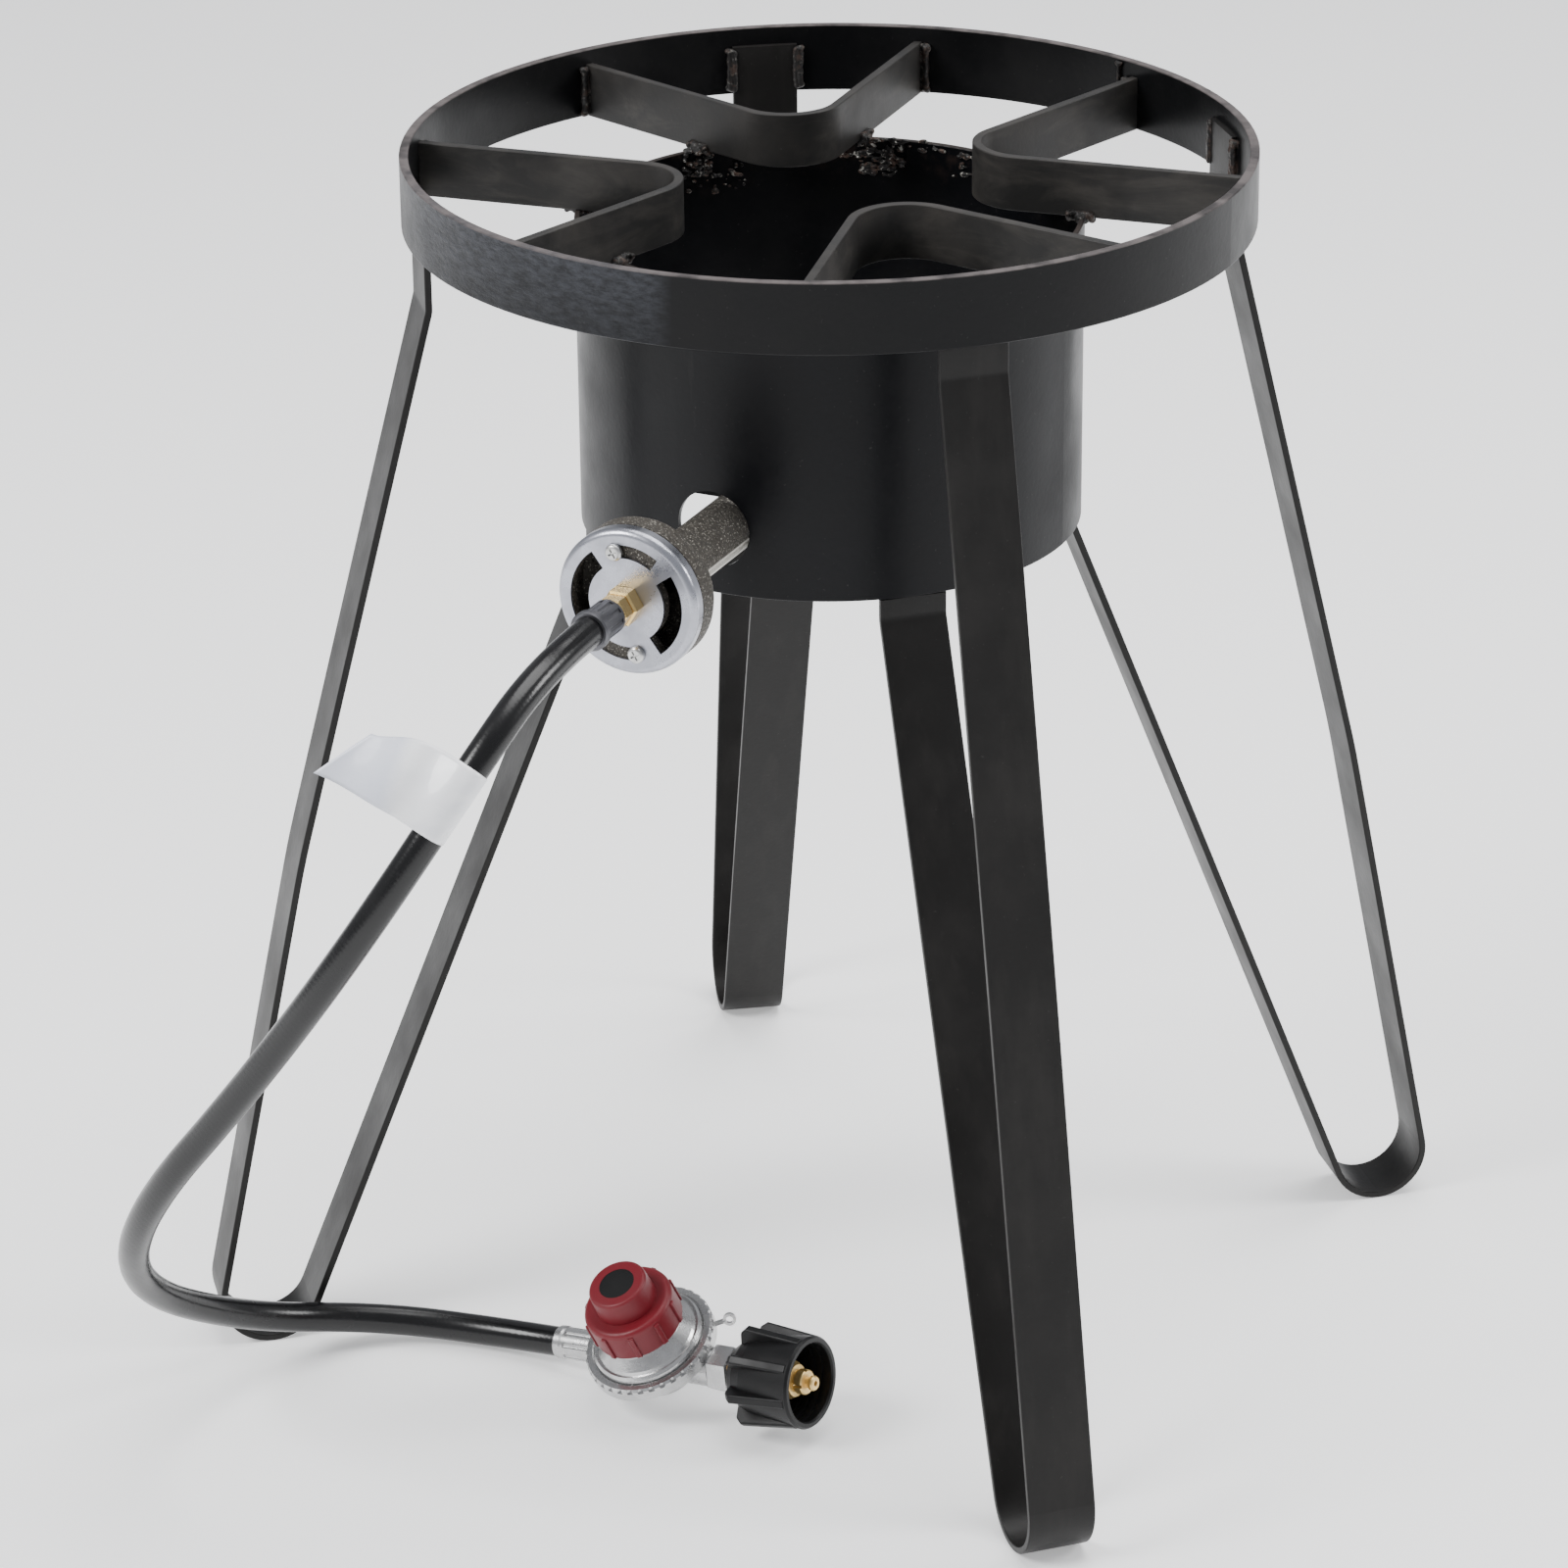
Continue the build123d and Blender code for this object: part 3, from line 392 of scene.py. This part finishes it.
def ball():
    """A plain ball of radius 1, as places and faces."""
    bm = bmesh.new()
    bmesh.ops.create_icosphere(bm, subdivisions=2, radius=1.0)
    places = [vert.co.copy() for vert in bm.verts]
    faces = [tuple(vert.index for vert in face.verts) for face in bm.faces]
    bm.free()
    return places, faces


LUMP_GRAIN, LUMP_ROUGHNESS = 260, 0.22   # how fine and how deep a drop is dented
BEAD_STEP, BEAD_VOXEL = 0.0009, 0.00045
SPATTER_VOXEL = 0.0004


class Lumps:
    """Uneven drops of metal, melted together into one skin at the end."""

    def __init__(self):
        self.ball, self.sides = ball()
        self.places, self.faces = [], []

    def add(self, place, half):
        """half is the drop's three half-lengths."""
        first = len(self.places)
        for unit in self.ball:
            spot_on = place + unit * half
            dent = jitter(spot_on, LUMP_GRAIN, half.length * LUMP_ROUGHNESS)
            self.places.append(spot_on + dent)
        self.faces += [tuple(first + k for k in side) for side in self.sides]

    def melted(self, voxel):
        rough = bpy.data.meshes.new("lumps")
        rough.from_pydata([tuple(place) for place in self.places], [], self.faces)
        lumps = bpy.data.objects.new("lumps", rough)
        bpy.context.scene.collection.objects.link(lumps)
        skin = lumps.modifiers.new("skin", "REMESH")
        skin.mode, skin.voxel_size = "VOXEL", voxel
        whole = lumps.evaluated_get(bpy.context.evaluated_depsgraph_get())
        result = bmesh.new()
        result.from_mesh(whole.to_mesh())
        bpy.data.objects.remove(lumps)
        bpy.data.meshes.remove(rough)
        return result


def ends_of(points):
    """The two ends of the long axis of a straight bead."""
    cloud = np.array(points)
    middle = cloud.mean(axis=0)
    along = np.linalg.svd(cloud - middle)[2][0]
    reach = (cloud - middle) @ along
    return Vector(middle + along * reach.min()), Vector(middle + along * reach.max())


def islands(mesh):
    """The vertex places of each separate part of a mesh."""
    bm = bmesh.new()
    bm.from_mesh(mesh)
    waiting = set(bm.verts)
    while waiting:
        first = min(waiting, key=lambda v: v.index)
        group, edge = {first}, [first]
        while edge:
            for link in edge.pop().link_edges:
                for vert in link.verts:
                    if vert not in group:
                        group.add(vert)
                        edge.append(vert)
        waiting -= group
        yield [tuple(v.co) for v in sorted(group, key=lambda v: v.index)]
    bm.free()


def weld_beads(node, radius, material):
    """A rippled bead of overlapping drops in place of each plain CAD bead."""
    draw = random.Random(node)
    lumps = Lumps()
    for points in islands(nodes[node].data):
        start, end = ends_of(points)
        count = max(5, round((end - start).length / BEAD_STEP))
        for k in range(count):
            size = radius * draw.uniform(0.80, 1.0)
            lumps.add(start.lerp(end, (k + 0.5) / count), Vector((size, size, size)))
    piece = link_mesh(node + "_rippled", lumps.melted(BEAD_VOXEL), material)
    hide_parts(node)


# Where crust and drops stuck on the guard's inner wall: azimuths, heights, how many.
SPATTER = [
    ((-126, -118), (0.4860, 0.4985), 60),
    ((-135, -119), (0.4770, 0.4930), 34),
    ((-173, -163), (0.4810, 0.4985), 90),
    ((-167, -150), (0.4890, 0.4988), 60),
    ((168.5, 174), (0.4845, 0.4975), 14),
    ((176, 190), (0.4930, 0.4985), 12),
]


def spatter(material):
    draw = random.Random(7)
    lumps = Lumps()
    for turns, heights, count in SPATTER:
        for _ in range(count):
            turn, z = math.radians(draw.uniform(*turns)), draw.uniform(*heights)
            out = Vector((math.sin(turn), -math.cos(turn), 0))
            place = AXIS + out * (GUARD_INNER - 0.0002) + Vector((0, 0, z))
            size = draw.uniform(0.0005, 0.0014)
            wide, tall = draw.uniform(0.8, 2.2), draw.uniform(0.5, 1.1)
            lumps.add(place, Vector((size * wide, size, size * tall)))
    link_mesh("weld_spatter", lumps.melted(SPATTER_VOXEL), material)


# ------------------------------------------------------------------ tank nipple
NUT_MOUTH = Vector((0.0651136, -0.164282, 0.0294092))
NUT_AXIS = Vector((0.982143, -0.127474, 0.138365)).normalized()
# Distance in front of the nut's mouth and radius, from the neck out to the tip.
NIPPLE = [
    (-0.0375, 0.0), (-0.0375, 0.0072), (-0.0355, 0.0072), (-0.0355, 0.0091), (-0.0290, 0.0091),
    (-0.0290, 0.0130), (-0.0278, 0.0130), (-0.0268, 0.0088), (-0.0200, 0.0087),
    (-0.0130, 0.0087), (-0.0098, 0.0084), (-0.0072, 0.0070), (-0.0068, 0.0049),
    (-0.0062, 0.0049), (-0.0056, 0.0055), (-0.0024, 0.0055), (-0.0018, 0.0050),
    (-0.0018, 0.0024), (-0.0006, 0.0024), (0.0000, 0.0031), (0.0014, 0.0033), (0.0022, 0.0028),
    (0.0022, 0.0012), (-0.0020, 0.0012), (-0.0020, 0.0),
]


def tank_nipple(material):
    """Brass nose in the tank nut: a bell, a grooved collar and a bored tip."""
    side = NUT_AXIS.cross(Vector((0, 0, 1))).normalized()
    up = side.cross(NUT_AXIS)
    around = 64
    bm = bmesh.new()
    rings = []
    for far, radius in NIPPLE:
        middle = NUT_MOUTH + NUT_AXIS * far
        if radius == 0.0:
            rings.append([bm.verts.new(middle)])
            continue
        ring = []
        for k in range(around):
            a = 2 * math.pi * k / around
            grooved = -0.0060 < far < -0.0020 and k % 16 in (0, 1)
            reach = radius * (0.80 if grooved else 1.0)
            ring.append(bm.verts.new(middle + (side * math.cos(a) + up * math.sin(a)) * reach))
        rings.append(ring)
    for near, far in zip(rings, rings[1:]):
        for k in range(around):
            n = (k + 1) % around
            if len(near) == 1:
                bm.faces.new((near[0], far[n], far[k]))
            elif len(far) == 1:
                bm.faces.new((near[k], near[n], far[0]))
            else:
                bm.faces.new((near[k], near[n], far[n], far[k]))
    bmesh.ops.recalc_face_normals(bm, faces=bm.faces)
    piece = link_mesh("tank_nipple", bm, material)
    piece.data.set_sharp_from_angle(angle=math.radians(32))
    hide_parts("inlet_nipple")
    return piece


# ------------------------------------------------------------------ hose
HOSE_R = 0.0066
HOSE_ROUTE = [
    (0.005, -0.233, 0.394),
    (0.005, -0.279, 0.394),
    (-0.004, -0.323, 0.366),
    (-0.043, -0.351, 0.296),
    (-0.097, -0.345, 0.222),
    (-0.16, -0.336, 0.145),
    (-0.197, -0.283, 0.076),
    (-0.188, -0.21, 0.027),
    (-0.149, -0.158, 0.01),
    (-0.0935, -0.14369, 0.00706),
    (-0.05913, -0.14816, 0.01191),
]


def hose_line():
    """Points along the hose and how far along it each one is."""
    route = [Vector(place) for place in HOSE_ROUTE]
    joins = [route[0]] + [(a + b) / 2 for a, b in zip(route[1:-2], route[2:-1])] + [route[-1]]
    points = []
    for start, corner, end in zip(joins, route[1:-1], joins[1:]):
        for k in range(24):
            t = k / 24
            points.append(start.lerp(corner, t).lerp(corner.lerp(end, t), t))
    points.append(route[-1])
    reach = [0.0]
    for a, b in zip(points, points[1:]):
        reach.append(reach[-1] + (b - a).length)
    return points, reach


def on_hose_at(distance):
    """The hose's middle and direction a given way along it."""
    points, reach = hose_line()
    k = max(i for i, far in enumerate(reach[:-1]) if far <= distance)
    along = (points[k + 1] - points[k]).normalized()
    return points[k] + along * (distance - reach[k]), along


LABEL_FROM, LABEL_TO = 0.0940, 0.1245
LABEL_R, FILM = 0.0071, 0.00018
TAIL_TOP, TAIL_TIP = Vector((-0.0474, -0.3222, 0.3750)), Vector((-0.0575, -0.3502, 0.3677))
TAIL_LIFT, TAIL_CURL, TAIL_TWIST = 0.0046, 0.0034, 0.0016
VIEW = Vector((0.380, -0.831, 0.406))    # roughly towards the viewer


def hose_label(material):
    """Film wrapped once round the hose, its two ends stuck together as a wavy tail."""
    rows, wrap, tail = 18, 10, 30
    bm = bmesh.new()
    front, back = [], []
    for i in range(rows + 1):
        u = i / rows
        middle, along = on_hose_at(LABEL_FROM + (LABEL_TO - LABEL_FROM) * u)
        tip = TAIL_TOP.lerp(TAIL_TIP, u)
        side = tip - middle
        side = (side - along * side.dot(along)).normalized()
        out = along.cross(side)
        out = out if out.dot(VIEW) > 0 else -out
        faces = {1: [], -1: []}
        for k in range(wrap):
            a = math.pi * (1 - 0.5 * k / wrap)
            for sign, line in faces.items():
                line.append(middle + side * (math.cos(a) * LABEL_R)
                            + out * (sign * math.sin(a) * LABEL_R))
        for k in range(tail + 1):
            v = k / tail
            lift = TAIL_LIFT * (1 - u) * math.sin(math.pi * min(1.0, v * 1.06))
            curl = TAIL_CURL * math.sin(2.1 * math.pi * v - 0.4) * v
            curl += TAIL_TWIST * (u - 0.5) * v
            root = middle + side * (LABEL_R * 0.15)
            place = root.lerp(tip, v) + Vector((0, 0, lift)) + out * curl
            far = min(1.0, (place - middle).dot(side) / (2.5 * LABEL_R))
            part = FILM + (LABEL_R - FILM) * (1 - far * far * (3 - 2 * far))
            for sign, line in faces.items():
                line.append(place + out * (sign * part))
        first = bm.verts.new(faces[1][0])
        front.append([first] + [bm.verts.new(p) for p in faces[1][1:]])
        back.append([first] + [bm.verts.new(p) for p in faces[-1][1:]])
    last = len(front[0]) - 1
    for i in range(rows):
        for k in range(last):
            bm.faces.new((front[i][k], front[i][k + 1], front[i + 1][k + 1], front[i + 1][k]))
            bm.faces.new((back[i][k], back[i + 1][k], back[i + 1][k + 1], back[i][k + 1]))
        bm.faces.new((front[i][last], back[i][last], back[i + 1][last], front[i + 1][last]))
    for i in (0, rows):
        for k in range(1, last):
            bm.faces.new((front[i][k], back[i][k], back[i][k + 1], front[i][k + 1]))
        bm.faces.new((front[i][0], back[i][1], front[i][1]))
    bmesh.ops.recalc_face_normals(bm, faces=bm.faces)
    piece = link_mesh("hose_label_film", bm, material)
    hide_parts("hose_label")
    return piece


def hose_curve(material):
    data = bpy.data.curves.new("gas_hose", "CURVE")
    data.dimensions = "3D"
    data.bevel_depth, data.bevel_resolution = HOSE_R, 8
    data.resolution_u = 24
    data.use_fill_caps = True
    line = data.splines.new("NURBS")
    line.points.add(len(HOSE_ROUTE) - 1)
    for point, place in zip(line.points, HOSE_ROUTE):
        point.co = (*place, 1)
    line.order_u = 3
    line.use_endpoint_u = True
    data.materials.append(material)
    hose = bpy.data.objects.new("gas_hose", data)
    bpy.context.scene.collection.objects.link(hose)
    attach(hose, "stand")
    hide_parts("hose")
    return hose


place_camera()
studio()

RING_PAINT, GUARD_PAINT, BRACKET_PAINT = ring_paint(), guard_paint(), bracket_paint()
LEG_PAINT = leg_paint()
IRON, BRASS = cast_iron(), brass()
BEAD, CRUST = weld_metal("weld_bead", 0.45, 0.12), weld_metal("weld_crust", 0.9, 0.75)
SHUTTER = plated("shutter_zinc", (0.43, 0.44, 0.49), 0.27, 0.6).mat
STEEL = plated("plated_steel", (0.62, 0.62, 0.61), 0.28).mat
ZINC = plated("regulator_zinc", (0.58, 0.58, 0.58), 0.22, 0.7).mat
CRIMP = plated("dark_crimp", (0.13, 0.13, 0.14), 0.38).mat
RED = plastic("red_plastic", (0.150, 0.0055, 0.0120), 0.40).mat
BLACK = plastic("black_plastic", (0.0045, 0.0045, 0.0048), 0.42, shine=0.28).mat
RUBBER = plastic("nitrile", (0.02, 0.02, 0.02), 0.6).mat

dress(["top_ring"], RING_PAINT)
dress(["wind_guard", "burner_strap"], GUARD_PAINT)
for side in ("front", "right", "back", "left"):
    dress([f"pot_bracket_{side}"], BRACKET_PAINT)
    dress([f"leg_{side}"], LEG_PAINT)
dress(["bracket_ring_welds", "leg_ring_welds", "leg_guard_welds", "bracket_guard_welds",
       "ring_seam_weld"], BEAD)
dress(["burner_casting", "burner_cap"], IRON)
dress(["air_shutter"], SHUTTER)
dress(["cap_screw", "strap_washer", "burner_bolt", "shutter_screws", "adjusting_screw",
       "adjusting_spring", "spring_button", "diaphragm_plate"], STEEL)
dress(["orifice_fitting", "flare_nut", "valve_stem"], BRASS)
dress(["burner_ferrule"], CRIMP)
dress(["outlet_fitting", "regulator_body", "regulator_bonnet", "vent_eyelet",
       "inlet_fitting"], ZINC)
dress(["diaphragm"], RUBBER)
dress(["regulator_knob"], RED)
dress(["knob_disc", "coupling_nut", "thermal_bushing"], BLACK)

for node, radius in (("bracket_ring_welds", 0.0018), ("leg_ring_welds", 0.0015),
                     ("leg_guard_welds", 0.0018), ("bracket_guard_welds", 0.0017),
                     ("ring_seam_weld", 0.0010)):
    weld_beads(node, radius, BEAD)
spatter(CRUST)

hose = hose_curve(hose_rubber())
on_hose = [hose_label(label_film()), tank_nipple(brass("brass_nipple", 0.80, 0.34, 0.48))]
on_hose += [nodes[name] for name in (
    "outlet_fitting", "regulator_body", "regulator_bonnet", "diaphragm",
    "adjusting_spring", "vent_eyelet", "inlet_fitting", "thermal_bushing",
    "regulator_knob", "knob_disc", "adjusting_screw", "spring_button", "diaphragm_plate",
    "valve_stem", "coupling_nut")]
